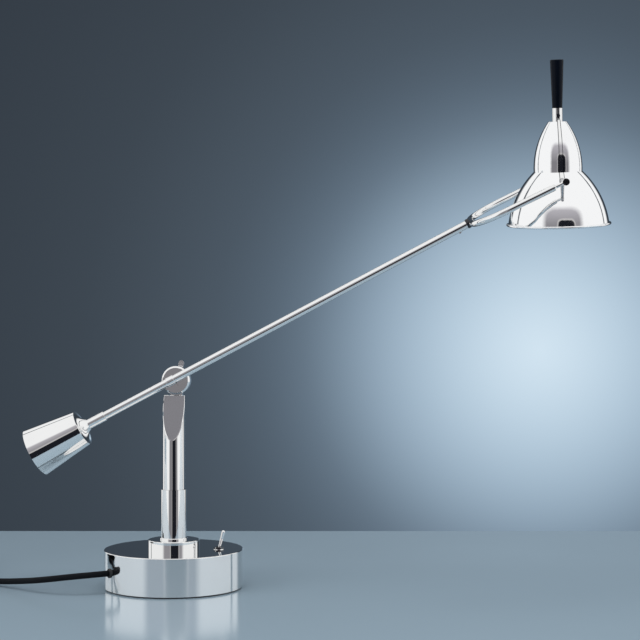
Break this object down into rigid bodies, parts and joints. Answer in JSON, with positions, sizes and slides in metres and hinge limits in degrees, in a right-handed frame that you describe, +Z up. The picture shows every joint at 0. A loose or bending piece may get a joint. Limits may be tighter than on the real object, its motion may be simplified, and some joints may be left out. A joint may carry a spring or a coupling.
{
  "type": "counterweight balance desk lamp",
  "caption": "Desk lamp whose tilting arm carries a forked bell shade at one end and a conical counterweight at the other, on a swivelling column and a round weighted base with a toggle switch.",
  "frame": {"origin": "centre of the underside of the round base, on the surface that it stands on", "axes": "+Z up; +X from the column towards the shade, as seen from the viewer side; -Y towards the viewer"},
  "size_m": [0.7476, 0.2769, 0.5254],
  "materials": {
    "plate_bright": "polished",
    "shade_bright": "polished",
    "knuckle_dark": "satin",
    "small_steel": "satin",
    "ballast_iron": "matte",
    "core_brass": "satin",
    "felt_black": "matte",
    "handle_black": "gloss",
    "plastic_black": "satin",
    "rubber_black": "matte",
    "cord_black": "matte",
    "bulb_glass": "gloss"
  },
  "bodies": {
    "base": {"base_shell": "plate_bright", "base_ballast": "ballast_iron", "base_cover_plate": "small_steel", "felt_pad": "felt_black", "cover_screws": "small_steel", "base_boss": "plate_bright", "column_sleeve": "plate_bright", "swivel_screw": "small_steel", "column_bush": "core_brass", "sleeve_locknut": "small_steel", "switch_body": "plastic_black", "switch_nut": "plate_bright", "cord_grommet": "rubber_black", "clamp_bar": "small_steel", "clamp_screws": "small_steel", "terminal_block": "plastic_black", "base_wiring": "cord_black", "cord": "cord_black", "cord_coil": "cord_black", "coil_tie": "rubber_black", "plug_body": "plastic_black", "plug_pins": "core_brass"},
    "toggle": {"toggle_lever": "plate_bright"},
    "column": {"column_post": "plate_bright", "fixed_disc": "plate_bright", "column_lead": "cord_black", "friction_washer": "plastic_black", "pivot_bolt": "plate_bright", "spring_washer": "small_steel"},
    "wing_nut": {"wing_nut": "plate_bright"},
    "arm": {"arm_disc": "plate_bright", "arm_saddle": "plate_bright", "saddle_screws": "small_steel", "arm_tube": "plate_bright", "arm_cable": "cord_black", "counterweight_shell": "plate_bright", "counterweight_core": "core_brass", "weight_sleeve": "plate_bright", "weight_set_screw": "small_steel", "weight_end_cap": "plate_bright", "weight_end_screw": "plate_bright", "tube_end_plug": "small_steel", "stop_screw": "small_steel"},
    "fork": {"fork_stem": "plate_bright", "fork_ferrule": "knuckle_dark", "fork_yoke": "plate_bright"},
    "shade": {"shade": "shade_bright", "shade_straps": "shade_bright", "strap_screws": "small_steel", "neck_collar": "plate_bright", "neck_nipple": "small_steel", "handle": "handle_black", "pivot_pins": "small_steel", "pivot_nuts": "small_steel", "pivot_washers": "small_steel", "pivot_spacers": "small_steel", "lampholder": "plastic_black", "holder_contacts": "core_brass", "bulb_cap": "core_brass", "bulb_glass": "bulb_glass"}
  },
  "joints": [
    {"name": "column_swivel", "type": "hinge", "parent": "base", "child": "column", "pos_m": [0, 0, 0.0989], "axis": [0, 0, 1], "range_deg": [-155, 155]},
    {"name": "toggle_flip", "type": "hinge", "parent": "base", "child": "toggle", "pos_m": [0.0457, -0.005, 0.0385], "axis": [0, 1, 0], "range_deg": [-30, 0]},
    {"name": "arm_tilt", "type": "hinge", "parent": "column", "child": "arm", "pos_m": [0.00149, -0.00014, 0.2089], "axis": [-0.0906, -0.9959, 0], "range_deg": [-36, 27]},
    {"name": "wing_nut_turn", "type": "hinge", "parent": "column", "child": "wing_nut", "pos_m": [0.00263, 0.01231, 0.2089], "axis": [-0.0906, -0.9959, 0], "range_deg": [-180, 15]},
    {"name": "fork_roll", "type": "hinge", "parent": "arm", "child": "fork", "pos_m": [0.2931, -0.02888, 0.3648], "axis": [0.8814, -0.0802, 0.4655], "range_deg": [-170, 170]},
    {"name": "shade_tilt", "type": "hinge", "parent": "fork", "child": "shade", "pos_m": [0.38311, -0.03665, 0.40928], "axis": [-0.017, -0.9902, -0.1385], "range_deg": [-60, 80]}
  ]
}
